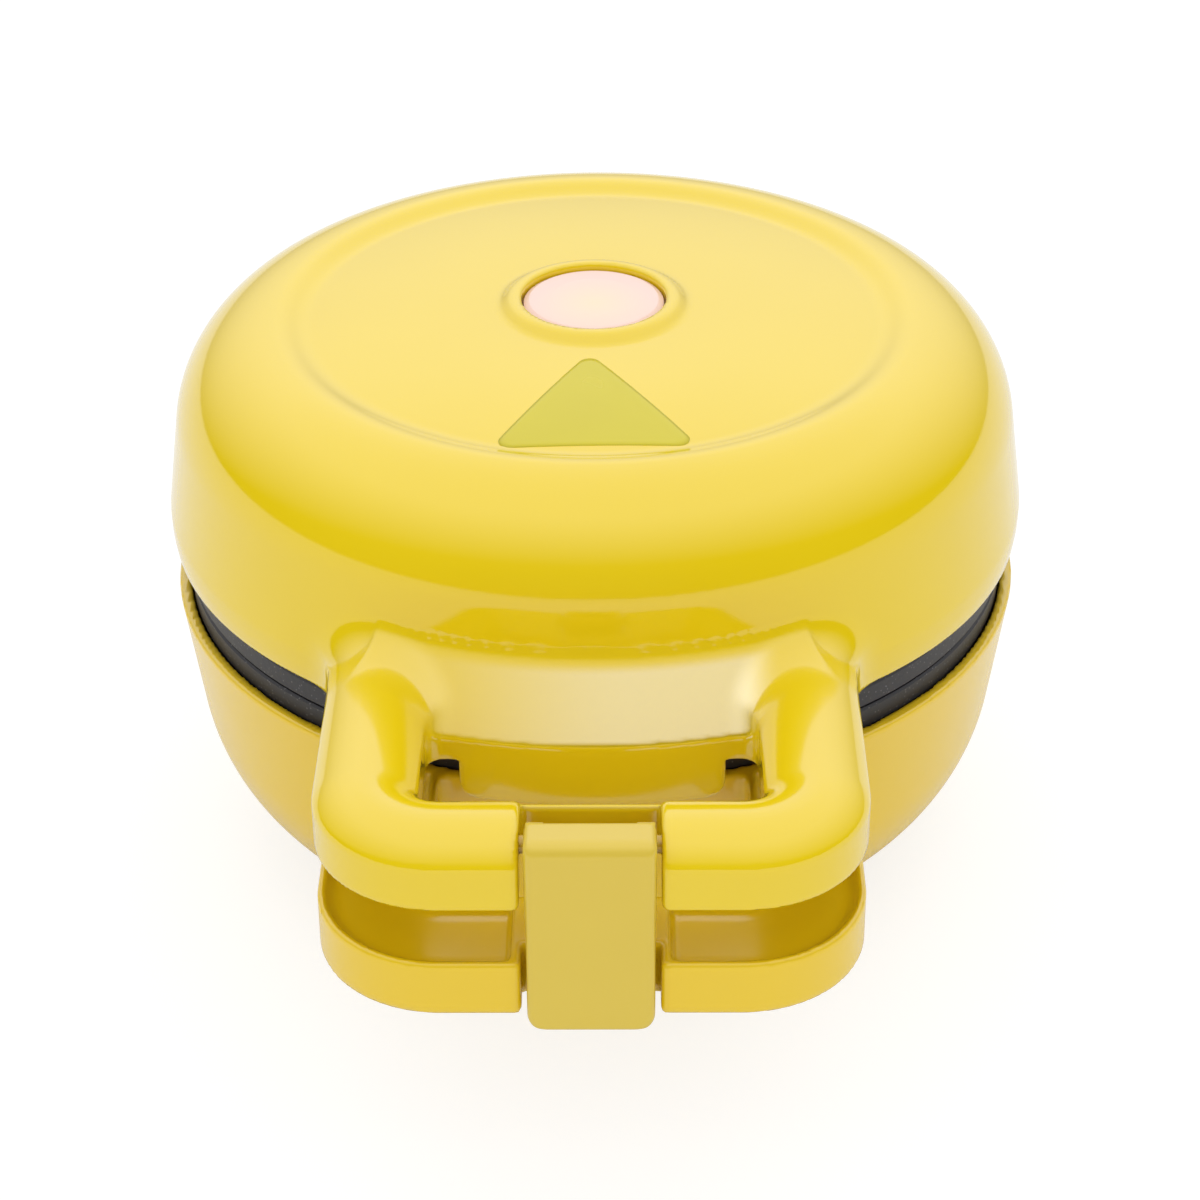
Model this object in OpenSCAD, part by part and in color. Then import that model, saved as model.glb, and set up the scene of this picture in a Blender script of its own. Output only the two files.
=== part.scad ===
// Mini donut maker: a round clamshell with two cast plates, a hinge at the back, two handle
// loops at the front and a swing latch. The handle side faces -Y and the hinge side +Y.
// z = 0 is the worktop, and x = 0, y = 0 is the middle of the whole outline.

/* [Body] */
// Diameter at the rim where the two halves meet
rim_d = 130; // [120:1:150]
// Depth of the base shell below its rim
base_depth = 42; // [38:0.5:50]
// Radius of the curve that rolls the base under
base_roll_r = 27.5; // [22:0.5:30]
// Height from the base rim to the lower lip of the lid
lip_gap = 8.5; // [8:0.1:10]
// Height of the lid's crest above the base rim
crest_h = 42.3; // [40:0.1:48]
// Radius of the lid's shoulder
shoulder_r = 17.3; // [14:0.1:18]
// Wall of the moulded shells
wall = 2.2; // [1.8:0.1:2.6]
// Height that the feet lift the base
foot_h = 3; // [2:0.5:5]

/* [Lid top] */
// Radius at the foot of the step round the lid's sunken disc
disc_r = 43.6; // [40:0.1:45]
// Depth of the sunken disc below the crest
disc_drop = 1.2; // [0.6:0.1:2]
// Rise of the disc towards its middle
disc_dome = 1.9; // [0.5:0.1:2.5]
// Radius of the hole for the indicator lens
lens_hole_r = 10.85; // [8:0.05:12]
// Height of the raised ring round the lens
lens_ring_h = 1.4; // [0.8:0.1:2]
// Clearance between the lens and its hole
lens_clear = 0.35; // [0.2:0.05:0.5]

/* [Handles] */
// Half width of the handle loops
loop_x = 36.5; // [34:0.5:40]
// Distance from the body's axis to the front of the handles
loop_front = 104.3; // [98:0.1:110]
// Outer corner radius of the loops
loop_r = 17; // [15:0.5:18]
// Width of the upper handle's bar
bar_w = 13.9; // [12:0.1:14.5]
// Height of the upper handle's straight skirt
bar_skirt = 6.6; // [5:0.1:8]
// Rise of its rounded top above the skirt
bar_crown = 3.9; // [3:0.1:5]
// Depth of the lower handle's skirt
low_skirt = 8.2; // [7:0.1:10]
// Depth of the dish along the lower handle
low_dish = 1.7; // [0.8:0.1:2.5]
// Radius of the lid's front apron between the legs
apron_r = 73; // [71:0.1:75]
// Height of the apron's shelf above the base rim
apron_h = 12.6; // [11.5:0.1:14]
// Half width of the tab that hangs in the opening
tab_x = 18.2; // [14:0.1:20]
// Height of the tab's lower edge above the base rim
tab_z = 2.6; // [1.5:0.1:4]

/* [Latch] */
// Width of the slot for the latch
slot_w = 18.1; // [16:0.1:20]
// Clearance on each side of the latch
latch_side = 0.75; // [0.4:0.05:1]
// Thickness of the latch plate
latch_t = 2.2; // [1.8:0.1:2.6]
// How far the latch's face stands out past the handle
latch_proud = 1.2; // [0.6:0.1:2]
// Height of the latch's top above the base rim
latch_top = 19.4; // [18.5:0.1:20.5]
// Depth of the latch's lower end below the base rim
latch_low = 10.5; // [9.2:0.1:11]
// Distance of the latch pivot behind its face
pivot_back = 5.8; // [5:0.1:6.5]
// Distance of the latch pivot below its top
pivot_down = 3.6; // [3.2:0.1:4.2]
// Radius of the latch pin
latch_pin_r = 1.2; // [1:0.05:1.5]
// Clearance between the hook and the catch, which the real clip snaps over
catch_clear = 0.3; // [0.3:0.05:0.6]

/* [Hinge] */
// Distance from the body's axis to the hinge line
hinge_y = 69.5; // [69:0.1:72]
// Height of the hinge line above the base rim
hinge_h = 4.25; // [4:0.05:5]
// Radius of the hinge ears
ear_r = 4.5; // [4:0.1:5]
// Width of each ear
ear_w = 5.5; // [4:0.1:7]
// Gap between the ears
ear_gap = 0.4; // [0.3:0.05:0.6]
// Distance from the middle to the inner face of the lid's ears
ear_x = 15; // [13:0.5:18]
// Radius of the hinge pins
hinge_pin_r = 1.5; // [1.2:0.1:2]
// Radial clearance of a pin in its running bore
pin_clear = 0.05; // [0.02:0.01:0.08]

/* [Plates] */
// Radial gap between the cast plates and the shells
plate_gap = 0.3; // [0.2:0.05:0.6]
// Width of the base's rim round the lower plate
rim_w = 1.8; // [1.5:0.1:2.4]
// Height of the seam between the plates above the base rim
seam_h = 3.1; // [2.5:0.1:4]
// Gap between the closed plates
seam_gap = 0.3; // [0.2:0.05:0.5]
// Thickness of the cast plates
plate_t = 3; // [2.5:0.1:4]
// Depth of the plates' outer skirt
plate_skirt = 6; // [5:0.1:7]
// Distance from the middle to each ring mould
ring_pitch = 33.3; // [32:0.1:36]
// Radius of the middle line of a ring mould
ring_r = 14; // [12.5:0.1:14.5]
// Radius of a ring mould's round trough
ring_tube = 8; // [6.5:0.1:8.5]
// Wall of the casting round a trough
ring_wall = 2.2; // [2:0.1:3]
// Radius of the plate screws' circle
post_pitch = 50; // [49:0.5:52]
// Radius of the plates' screw posts
post_r = 4; // [3.5:0.1:4.5]
// Length of the posts below the plate's face
post_len = 20.5; // [20:0.1:23]

/* [Heating] */
// Radius of the heating element's circle
element_pitch = 33.3; // [31:0.1:35]
// Radius of the element's tube
element_tube = 3.2; // [2.8:0.1:3.3]
// Gap in the element's circle, in degrees
element_open = 28; // [20:1:40]
// Gap between the element and the casting that it heats
element_seat = 0.3; // [0.2:0.05:0.4]
// Thickness of the heat shields
liner_t = 0.6; // [0.5:0.1:1]

/* [Underside] */
// Radius of the bottom cover
cover_r = 35; // [30:0.5:36]
// Thickness of the bottom cover
cover_t = 2; // [1.6:0.1:2.5]
// Clearance round the cover
cover_clear = 0.3; // [0.2:0.05:0.5]
// Radius of a foot
foot_r = 4.5; // [4:0.1:6]
// Distance from the middle to each foot
foot_pitch = 28; // [22:0.5:29]
// Radius of the bore in the cord gland
gland_bore_r = 3.3; // [2.5:0.1:4]
// Depth of the cord gland's middle below the base rim
gland_drop = 21; // [18:0.5:23]

/* [Hidden] */

$fn = 96;
eps = 0.01;
big = 200;
yellow = "#ecd64c";
charcoal = "#3a393d";
steel = "#b9bbbd";
tin = "#d2d3d4";

rim_r = rim_d / 2;
rim_z = foot_h + base_depth;
lip_z = rim_z + lip_gap;
face_y = -(loop_front + latch_proud);
back_y = hinge_y + ear_r;
axis_y = -(face_y + back_y) / 2;

// Base form, as radius and height from the rim
roll_c = [rim_r - base_roll_r - 2.2, -(base_depth - base_roll_r)];
// Lid form
bulge = [rim_r + 0.3, lip_gap + 5];
lip_r = rim_r - 0.1;
shoulder_c = [rim_r - shoulder_r - 1.4, crest_h - shoulder_r];
cavity_r = rim_r - rim_w - 0.1;

// Plates
plate_r = rim_r - rim_w - plate_gap;
lower_face = seam_h - seam_gap / 2;
upper_face = seam_h + seam_gap / 2;
bulge_r = ring_tube + ring_wall;
element_z = bulge_r + element_seat + element_tube;
screw_r = 1.5;
screw_head_r = 3.1;
liner_z = post_len;
boss_r = 3.6;

// Handle section: the rounded top is an arc through both top edges of the skirt
crown_r = (pow(bar_w / 2, 2) + pow(bar_crown, 2)) / (2 * bar_crown);
crown_c = bar_skirt + bar_crown - crown_r;
loop_c = [loop_x - loop_r, -(loop_front - loop_r)];
low_w = bar_w + 0.8;

// Latch
latch_w = slot_w - 2 * latch_side;
pivot_y = face_y + pivot_back;
pivot_z = latch_top - pivot_down;
hook_t = 2.2;
hook_tip = face_y + latch_t + 2.3;
cheek = 2;

// Hinge ears: the lid's pair stands inside the base's pair
base_ear_x = ear_x + ear_w + ear_gap;

// Terminal block, lined up with the element's ends
pin_x = element_pitch * sin(element_open / 2);
pin_y = element_pitch * cos(element_open / 2);
block_y = pin_y + 8.2;
block_z = 1.15 + 9.05 - base_depth;

// Cord gland: its flange stands on a flat pad
gland_seat = rim_r - 1.9;
gland_flange_r = gland_bore_r + 3.6;

// Lamp under the lens
holder_r = lens_hole_r + 3.4;
disc_z = crest_h - disc_drop + disc_dome;
lens_seat = disc_z - wall;

// ---- shared forms -------------------------------------------------------------------

// Points of an arc
function arc(c, r, a0, a1, n) = [for (i = [0:n])
    let (a = a0 + (a1 - a0) * i / n) [c[0] + r * cos(a), c[1] + r * sin(a)]];
function flip(list) = [for (i = [len(list) - 1:-1:0]) list[i]];
// Angle of the point where a line from p touches the circle at c; side picks the touch
function touch(c, r, p, side) = atan2(p[1] - c[1], p[0] - c[0])
    + side * acos(r / norm(p - c));

module on_axis(z = 0) {
    translate([0, axis_y, z]) children();
}

module at_ring(n, r, a0 = 0) {
    for (i = [0:n - 1]) rotate(a0 + i * 360 / n) translate([r, 0, 0]) children();
}

// Extrudes a section given as [y, z] along X, centred on x = 0
module along_x(width) {
    rotate([90, 0, 90]) translate([0, 0, -width / 2]) linear_extrude(width) children();
}

// Sweeps a section, given as [distance in from the outer face, height], round the handle
module loop(root_y) {
    leg = -loop_c[1] + root_y;
    for (s = [0, 1]) mirror([s, 0, 0]) {
        translate([loop_x, root_y, 0]) rotate([90, 0, 0]) linear_extrude(leg)
            mirror([1, 0]) children();
        translate([loop_c[0], loop_c[1], 0]) rotate(-90) rotate_extrude(angle = 90)
            translate([loop_r, 0]) mirror([1, 0]) children();
    }
    translate([0, -loop_front, 0]) along_x(2 * loop_c[0]) children();
}

// ---- base ---------------------------------------------------------------------------

// Outline of the base shell, moved inwards by t and open at the top
function base_line(t) = let (r = base_roll_r - t, p = [rim_r - min(t, rim_w), 0])
    concat([[0, -base_depth + t]],
        arc(roll_c, r, -90, touch(roll_c, r, p, -1), 12), [p]);

module base_cavity() {
    rotate_extrude() polygon(concat(base_line(wall), [[rim_r - rim_w, 1], [0, 1]]));
}

// Section of the lower handle: a channel open below, with a shallow dish along its top
module low_section() {
    t = 2;
    edge = 0.9;
    dish_r = 2.4;
    middle = dish_r - low_dish;
    lean = asin(middle / dish_r);
    polygon(concat([[0, -low_skirt], [0, -0.4], [0.3, 0], [edge, 0]],
        arc([edge + dish_r, middle], dish_r, 180 + lean, 270, 6),
        arc([low_w - edge - dish_r, middle], dish_r, 270, 360 - lean, 6),
        [[low_w - edge, 0], [low_w - 0.3, 0], [low_w, -0.4], [low_w, -low_skirt],
        [low_w - t, -low_skirt], [low_w - t, -low_dish - t], [t, -low_dish - t],
        [t, -low_skirt]]));
}

// Side of a base ear, as [y, z] from the rim
module base_ear_side(bore_r) {
    difference() {
        union() {
            translate([hinge_y, hinge_h]) circle(ear_r);
            polygon([[rim_r - 6, -14], [rim_r + 0.5, -9], [hinge_y + ear_r, -2],
                [hinge_y + ear_r, hinge_h], [hinge_y - ear_r, hinge_h],
                [hinge_y - ear_r, -0.3], [rim_r - 6, -0.3]]);
        }
        translate([hinge_y, hinge_h]) circle(bore_r);
    }
}

// Slot in the lower handle that the latch drops into, with the catch on its back wall
module low_slot() {
    back = hook_tip + catch_clear + 0.8;
    slot_t = 2;
    difference() {
        translate([-slot_w / 2 - slot_t, back, -low_skirt]) cube([slot_w + 2 * slot_t,
            slot_t, low_skirt - low_dish]);
    }
    for (s = [-1, 1]) translate([s * (slot_w + slot_t) / 2 - slot_t / 2, -loop_front + 1,
        -low_skirt]) cube([slot_t, back + loop_front, low_skirt - low_dish]);
    translate([0, 0, -low_skirt]) along_x(slot_w - 2)
        polygon([[back + 0.5, 0.4], [back - 0.8, 1], [back - 0.8, 1.6], [back + 0.5, 2.6]]);
}

module base_shell() {
    back = hook_tip + catch_clear + 0.8;
    boss_top = lower_face - liner_z - liner_t;
    color(yellow) on_axis(rim_z) {
        difference() {
            union() {
                difference() {
                    union() {
                        rotate_extrude() polygon(concat(base_line(0), [[0, 0]]));
                        difference() {
                            loop(-rim_r + 20) low_section();
                            translate([-slot_w / 2, -big, -big / 2])
                                cube([slot_w, big + back, big]);
                        }
                        for (s = [-1, 1])
                            translate([s * (base_ear_x + ear_w / 2), 0, 0])
                                along_x(ear_w) base_ear_side(hinge_pin_r + 0.02);
                        // flat pad for the cord gland
                        translate([0, rim_r - 12, -gland_drop]) rotate([-90, 0, 0])
                            cylinder(r = gland_flange_r + 0.8, h = gland_seat - rim_r + 12);
                    }
                    base_cavity();
                }
                low_slot();
                // posts for the plate screws and for the terminal block, on the curved floor
                intersection() {
                    union() {
                        at_ring(4, post_pitch) translate([0, 0, -base_depth])
                            cylinder(r = boss_r, h = base_depth + boss_top);
                        translate([0, block_y, -base_depth]) cylinder(r = 4,
                            h = base_depth + block_z - 0.05);
                    }
                    rotate_extrude() polygon(concat(base_line(wall / 2), [[0, 0]]));
                }
                // lugs for the cover screws
                at_ring(3, cover_r - 5, 30) translate([0, 0, -base_depth + cover_t])
                    cylinder(r = 4, h = 7);
            }
            at_ring(4, post_pitch) translate([0, 0, boss_top - 9])
                cylinder(r = screw_r + 0.05, h = 10);
            at_ring(3, cover_r - 5, 30) translate([0, 0, -base_depth])
                cylinder(r = 1.25, h = 8);
            // opening for the cover, with a rebate that it seats in
            translate([0, 0, -base_depth - 1]) cylinder(r = cover_r + cover_clear,
                h = cover_t + 1);
            translate([0, 0, -base_depth - 1]) difference() {
                cylinder(r = cover_r - 2.5, h = 8);
                at_ring(3, cover_r - 5, 30) cylinder(r = 4, h = 9);
            }
            // hole for the cord gland
            translate([0, rim_r - 12, -gland_drop]) rotate([-90, 0, 0])
                cylinder(r = gland_bore_r + 2, h = 20);
        }
    }
}

module bottom_cover() {
    color(yellow) on_axis(foot_h) difference() {
        cylinder(r = cover_r, h = cover_t - 0.05);
        at_ring(3, cover_r - 5, 30) translate([0, 0, -1]) cylinder(r = 1.7, h = 4);
        at_ring(3, cover_r - 5, 30) translate([0, 0, -1]) cylinder(r = 3.2, h = 1.9);
        at_ring(4, foot_pitch, 45) translate([0, 0, -1]) cylinder(r = 2, h = 4);
        // vent slots
        for (i = [-3:3]) translate([i * 5 - 1, -12 + abs(i), -1])
            cube([2, 24 - 2 * abs(i), 4]);
    }
}

module feet() {
    color(charcoal) on_axis() at_ring(4, foot_pitch, 45) {
        rotate_extrude() polygon([[0, 0], [foot_r - 0.8, 0], [foot_r, 0.8],
            [foot_r, foot_h - 0.05], [1.95, foot_h - 0.05], [1.95, foot_h + cover_t + 0.2],
            [2.6, foot_h + cover_t + 0.2], [1.6, foot_h + cover_t + 2.2],
            [0, foot_h + cover_t + 2.2]]);
    }
}

module cover_screws() {
    color(steel) on_axis(foot_h) at_ring(3, cover_r - 5, 30) {
        translate([0, 0, -0.9]) cylinder(r = 2.8, h = 1.75);
        cylinder(r = 1.2, h = 7);
    }
}

// ---- heating cartridge: cooking face at z = 0, body below ----------------------------

// Section of the casting: a disc with an outer skirt and a low rim
module plate_body() {
    taper = 1;
    skirt_t = 1.6;
    rotate_extrude() polygon([[0, -plate_t], [0, -0.6], [plate_r - 4, -0.6],
        [plate_r - 3.2, 0], [plate_r - 0.3, 0], [plate_r, -0.3],
        [plate_r, -seam_h], [plate_r - taper, -plate_skirt],
        [plate_r - taper - skirt_t, -plate_skirt], [plate_r - 2.2, -plate_t]]);
}

module ring_bulge() {
    rotate_extrude() difference() {
        translate([ring_r, -0.6]) circle(bulge_r - 0.6);
        translate([0, -0.6]) square([ring_r * 3, bulge_r * 2]);
        translate([-big, -big]) square([big, 2 * big]);
    }
}

module ring_trough() {
    translate([0, 0, -0.6]) rotate_extrude() translate([ring_r, 0])
        circle(ring_tube - 0.6, $fn = 64);
}

module cast_plate() {
    difference() {
        union() {
            plate_body();
            at_ring(4, ring_pitch, 45) ring_bulge();
            at_ring(4, post_pitch) translate([0, 0, -post_len])
                cylinder(r = post_r, h = post_len - 1);
        }
        at_ring(4, ring_pitch, 45) ring_trough();
        at_ring(4, post_pitch) translate([0, 0, -post_len - 1])
            cylinder(r = screw_r + 0.25, h = post_len + 2);
        at_ring(4, post_pitch) translate([0, 0, -2.4])
            cylinder(r1 = screw_r + 0.25, r2 = screw_head_r + 0.75, h = 2.5);
    }
}

module plate_screws_form() {
    head_z = -0.75;
    at_ring(4, post_pitch) rotate_extrude() polygon([[0, -liner_z - 9], [screw_r - 0.4,
        -liner_z - 9], [screw_r, -liner_z - 8], [screw_r, head_z - 1.65],
        [screw_head_r, head_z], [0, head_z]]);
}

module element_form() {
    span = 360 - element_open;
    translate([0, 0, -element_z]) {
        rotate(90 + element_open / 2) rotate_extrude(angle = span)
            translate([element_pitch, 0]) circle(element_tube, $fn = 40);
        // cold ends that turn down through the heat shield
        for (s = [-1, 1]) rotate(90 + s * element_open / 2) translate([element_pitch, 0, 0])
            rotate([0, 0, s * 90]) translate([0, 0.02, 0]) {
                translate([0, 0, -7.5]) cylinder(r = element_tube - 0.2, h = 7.5, $fn = 40);
                translate([0, 0, -13]) cylinder(r = 1.2, h = 6, $fn = 24);
            }
    }
}

// Heat shield: a shallow pan clamped between the plate's posts and the shell's bosses
module liner_form() {
    pan_r = plate_r - 6;
    difference() {
        translate([0, 0, -liner_z]) rotate_extrude() polygon([[0, -liner_t], [0, 0],
            [pan_r - 1, 0], [pan_r + 1.5, 4.5], [pan_r + 2, 10.5], [pan_r + 3, 10.5],
            [pan_r + 3, 10.5 - liner_t], [pan_r + 2.6, 10.5 - liner_t],
            [pan_r + 2.1, 4.3], [pan_r - 0.6, -liner_t]]);
        at_ring(4, post_pitch) translate([0, 0, -liner_z - 1])
            cylinder(r = screw_r + 0.3, h = 2);
        for (s = [-1, 1]) rotate(90 + s * element_open / 2)
            translate([element_pitch, 0, -liner_z - 1])
                cylinder(r = element_tube + 0.8, h = 2);
    }
}

module lower_plate() {
    color(charcoal) on_axis(rim_z + lower_face) cast_plate();
}

module lower_element() {
    color(steel) on_axis(rim_z + lower_face) element_form();
}

module lower_liner() {
    color(tin) on_axis(rim_z + lower_face) liner_form();
}

module lower_plate_screws() {
    color(steel) on_axis(rim_z + lower_face) plate_screws_form();
}

module turned_over(face) {
    on_axis(rim_z + face) mirror([0, 0, 1]) children();
}

module upper_plate() {
    color(charcoal) turned_over(upper_face) cast_plate();
}

module upper_element() {
    color(steel) turned_over(upper_face) element_form();
}

module upper_liner() {
    color(tin) turned_over(upper_face) liner_form();
}

module upper_plate_screws() {
    color(steel) turned_over(upper_face) plate_screws_form();
}

// ---- parts under the lower heat shield -------------------------------------------------

shield_z = rim_z + lower_face - liner_z - liner_t;

module thermostat() {
    color(tin) on_axis(shield_z) {
        translate([0, 0, -3]) cylinder(r = 8, h = 2.75);
        translate([0, 0, -8.5]) cylinder(r = 7, h = 5.6);
        for (s = [-1, 1]) translate([s * 4 - 0.4, -3, -13]) cube([0.8, 6, 5]);
        // mounting ears
        translate([-12, -3, -1.1]) cube([24, 6, 0.8]);
    }
}

module thermal_fuse() {
    color("#d9c9a6") on_axis(shield_z) translate([20, -14, -2.35]) rotate([0, 90, 0]) {
        cylinder(r = 2, h = 13, $fn = 32);
        translate([0, 0, -4]) cylinder(r = 0.6, h = 21, $fn = 24);
    }
}

module terminal_block() {
    color("#e9e6dc") on_axis(rim_z) translate([0, block_y, block_z]) difference() {
        translate([-pin_x - 4, -5.5, 0]) cube([2 * pin_x + 8, 11, 8]);
        for (i = [-1:1]) translate([i * pin_x, -6, 4]) rotate([-90, 0, 0])
            cylinder(r = 1.6, h = 12, $fn = 32);
        for (i = [-1:1]) translate([i * pin_x, 0, 4]) cylinder(r = 1.5, h = 5, $fn = 32);
    }
}

// Insulated lead: a run along -Y, then a bend up and a short rise
module lead(len, rise) {
    r = 1.1;
    bend = 2.4;
    rotate([90, 0, 0]) cylinder(r = r, h = len, $fn = 24);
    translate([0, -len, bend]) rotate([0, -90, 0]) rotate(180)
        rotate_extrude(angle = 90) translate([bend, 0]) circle(r, $fn = 24);
    translate([0, -len - bend, bend]) cylinder(r = r, h = rise, $fn = 24);
}

module base_leads() {
    run = block_y - pin_y - 2.4 + 2.5;
    rise = lower_face - element_z - 13 - block_z - 4 - 2.4 - 0.1;
    color("#efe9dc") on_axis(rim_z) translate([0, block_y + 2.5, block_z + 4]) {
        for (s = [-1, 1]) translate([s * pin_x, 0, 0]) lead(run, rise);
        rotate([90, 0, 0]) cylinder(r = 1.1, h = block_y + 2.5 - 8.4, $fn = 24);
    }
}

module cord_gland() {
    color(charcoal) on_axis(rim_z - gland_drop) rotate([-90, 0, 0]) difference() {
        union() {
            translate([0, 0, rim_r - 6]) cylinder(r = gland_bore_r + 1.95, h = 6);
            translate([0, 0, gland_seat + 0.05]) cylinder(r = gland_flange_r, h = 2.8);
        }
        translate([0, 0, rim_r - 7]) cylinder(r = gland_bore_r, h = 12);
    }
}

// ---- lid ------------------------------------------------------------------------------

// Outline of the lid's side and shoulder, moved inwards by t, from the lip to the crest
function lid_line(t) = let (r = shoulder_r - t, p = bulge - [t, 0])
    concat([[lip_r - t, lip_gap], [bulge[0] - t - 0.05, lip_gap + 2.6], p],
        arc(shoulder_c, r, touch(shoulder_c, r, p, 1), 86, 12));

// Outline of the sunken disc, from the step to the raised ring; t moves it down
function disc_line(t) = let (z = crest_h - disc_drop - t, n = 6)
    concat([[disc_r + 2.4 - t * 0.3, z + disc_drop * 0.72], [disc_r + 0.8 - t * 0.2,
        z + disc_drop * 0.16]],
        [for (i = [0:n]) let (u = 1 - i / n, rr = lens_hole_r + 3.4)
            [rr + (disc_r - rr) * u, z + disc_dome * (1 - pow(u, 2))]]);

module lid_outer() {
    ring_top = disc_z + lens_ring_h;
    rotate_extrude() polygon(concat([[0, lip_gap]], lid_line(0), disc_line(0),
        [[lens_hole_r + 2.4, ring_top - 0.5], [lens_hole_r + 1.5, ring_top],
         [lens_hole_r + 0.6, ring_top], [0, ring_top]]));
}

module lid_cavity() {
    rotate_extrude() polygon(concat([[0, 0.5], [cavity_r, 0.5], [cavity_r, lip_gap]],
        [for (p = lid_line(wall)) if (p[1] > lip_gap) p],
        [for (p = disc_line(wall)) p], [[0, disc_z - wall]]));
}

module bar_section(t) {
    r = crown_r - t;
    edge = bar_w / 2 - t;
    a = acos(edge / r);
    low = t > 0 ? -1 : 0;
    polygon(concat([[t, low]],
        [for (p = arc([bar_w / 2, crown_c], r, 180 - a, a, 12)) p],
        [[bar_w - t, low]]));
}

// Apron that flares the lid's front wall out between the legs
module apron() {
    f = 9;
    c = [bulge[0] - 0.9 + f, apron_h + f];
    half = loop_x - bar_w + 1;
    low = lip_gap + 0.3;
    intersection() {
        rotate(240) rotate_extrude(angle = 60)
            polygon(concat([[cavity_r + 0.6, low], [cavity_r + 0.6, c[1]]],
                arc(c, f, 180, 262, 10), [[apron_r - 0.5, apron_h - 0.4],
                [apron_r, apron_h - 1.2], [apron_r, low], [apron_r - 2.2, low],
                [apron_r - 2.2, apron_h - 2.6], [rim_r + 2, apron_h - 0.2],
                [rim_r + 2, low]]));
        translate([-half, -big, 0]) cube([2 * half, big, big]);
    }
}

// Tab that hangs from the apron's wall in the handle's opening
module tab() {
    r = 2.5;
    outer = apron_r - 0.3;
    intersection() {
        rotate(250) rotate_extrude(angle = 40) translate([outer - 1.6, tab_z])
            square([1.6, lip_gap - tab_z + 1]);
        rotate([90, 0, 0]) linear_extrude(big) union() {
            translate([-tab_x, tab_z + r]) square([2 * tab_x, 20]);
            translate([-tab_x + r, 0]) square([2 * (tab_x - r), 20]);
            for (s = [-1, 1]) translate([s * (tab_x - r), tab_z + r]) circle(r);
        }
    }
}

module lid_ear_side(bore_r) {
    difference() {
        union() {
            translate([hinge_y, hinge_h]) circle(ear_r);
            polygon([[rim_r - 5, hinge_h], [hinge_y + ear_r, hinge_h],
                [hinge_y + ear_r - 1.5, hinge_h + 4.5], [rim_r - 0.5, lip_gap + 8],
                [rim_r - 5, lip_gap + 8]]);
        }
        translate([hinge_y, hinge_h]) circle(bore_r);
    }
}

module latch_axis(r, len) {
    translate([-len / 2, pivot_y, pivot_z]) rotate([0, 90, 0]) cylinder(r = r, h = len);
}

module lid_shell() {
    back_t = 1.2;
    recess_y = -loop_front + bar_w - back_t;
    boss_low = upper_face + liner_z + liner_t;
    color(yellow) on_axis(rim_z) {
        difference() {
            union() {
                difference() {
                    union() {
                        lid_outer();
                        translate([0, 0, lip_gap]) difference() {
                            loop(-rim_r + 20) bar_section(0);
                            difference() {
                                loop(-rim_r + 20) bar_section(2);
                                translate([0, 0, -5]) cylinder(r = rim_r + 1.3, h = 30);
                                translate([-slot_w / 2 - cheek, -big, -5])
                                    cube([slot_w + 2 * cheek, big - 66, 30]);
                            }
                        }
                        apron();
                        tab();
                        for (s = [-1, 1]) translate([s * (ear_x + ear_w / 2), 0, 0])
                            along_x(ear_w) lid_ear_side(hinge_pin_r + pin_clear);
                    }
                    lid_cavity();
                }
                // bosses for the plate screws
                intersection() {
                    at_ring(4, post_pitch) translate([0, 0, boss_low])
                        cylinder(r = boss_r, h = crest_h);
                    difference() {
                        lid_outer();
                        translate([0, 0, disc_z - 1]) cylinder(r = disc_r, h = 10);
                    }
                }
            }
            at_ring(4, post_pitch) translate([0, 0, boss_low - 1])
                cylinder(r = screw_r + 0.05, h = 10);
            // lens hole
            cylinder(r = lens_hole_r, h = big);
            // recess for the latch, open at the front, the top and below
            translate([-slot_w / 2, -big, 0]) cube([slot_w, big + recess_y, big]);
            latch_axis(latch_pin_r + 0.02, slot_w + 2 * cheek + 1);
        }
    }
}

// ---- indicator lamp ---------------------------------------------------------------------

module indicator_lens() {
    r = lens_hole_r - lens_clear;
    low = lens_seat - 0.05;
    color("#fde9e2") on_axis(rim_z) rotate_extrude() polygon([[0, low - 1.6],
        [r + 2.2, low - 1.6], [r + 2.2, low], [r, low], [r, disc_z + 0.3],
        [r - 0.8, disc_z + 0.75], [r * 0.6, disc_z + 1.05], [0, disc_z + 1.2]]);
}

module lamp_holder() {
    top = lens_seat - 1.7;
    color("#f3f1ea") on_axis(rim_z) difference() {
        rotate_extrude() polygon([[0, top - 9], [holder_r - 3, top - 9], [holder_r - 3,
            top - 1.6], [holder_r + 3, top - 1.6], [holder_r + 3, top],
            [holder_r - 4.6, top], [holder_r - 4.6, top - 7.4], [0, top - 7.4]]);
        at_ring(2, holder_r + 0.6) translate([0, 0, top - 3]) cylinder(r = 1.1, h = 5,
            $fn = 32);
        for (s = [-1, 1]) translate([s * 1.27, 0, top - 10]) cylinder(r = 0.7, h = 4,
            $fn = 24);
    }
}

module lamp() {
    z = lens_seat - 9.05;
    color("#fff3cf") on_axis(rim_z) {
        translate([0, 0, z]) rotate_extrude() polygon(concat([[0, 0], [2.9, 0],
            [2.9, 1], [2.5, 1]], arc([0, 4.1], 2.5, 0, 90, 8)));
        for (s = [-1, 1]) translate([s * 1.27, 0, z - 5]) cylinder(r = 0.3, h = 5.2,
            $fn = 16);
    }
}

module holder_screws() {
    z = lens_seat - 3.35;
    color(steel) on_axis(rim_z) at_ring(2, holder_r + 0.6) {
        translate([0, 0, z - 1.2]) cylinder(r = 1.9, h = 1.15, $fn = 32);
        translate([0, 0, z - 0.1]) cylinder(r = 1, h = 3.2, $fn = 32);
    }
}

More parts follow.
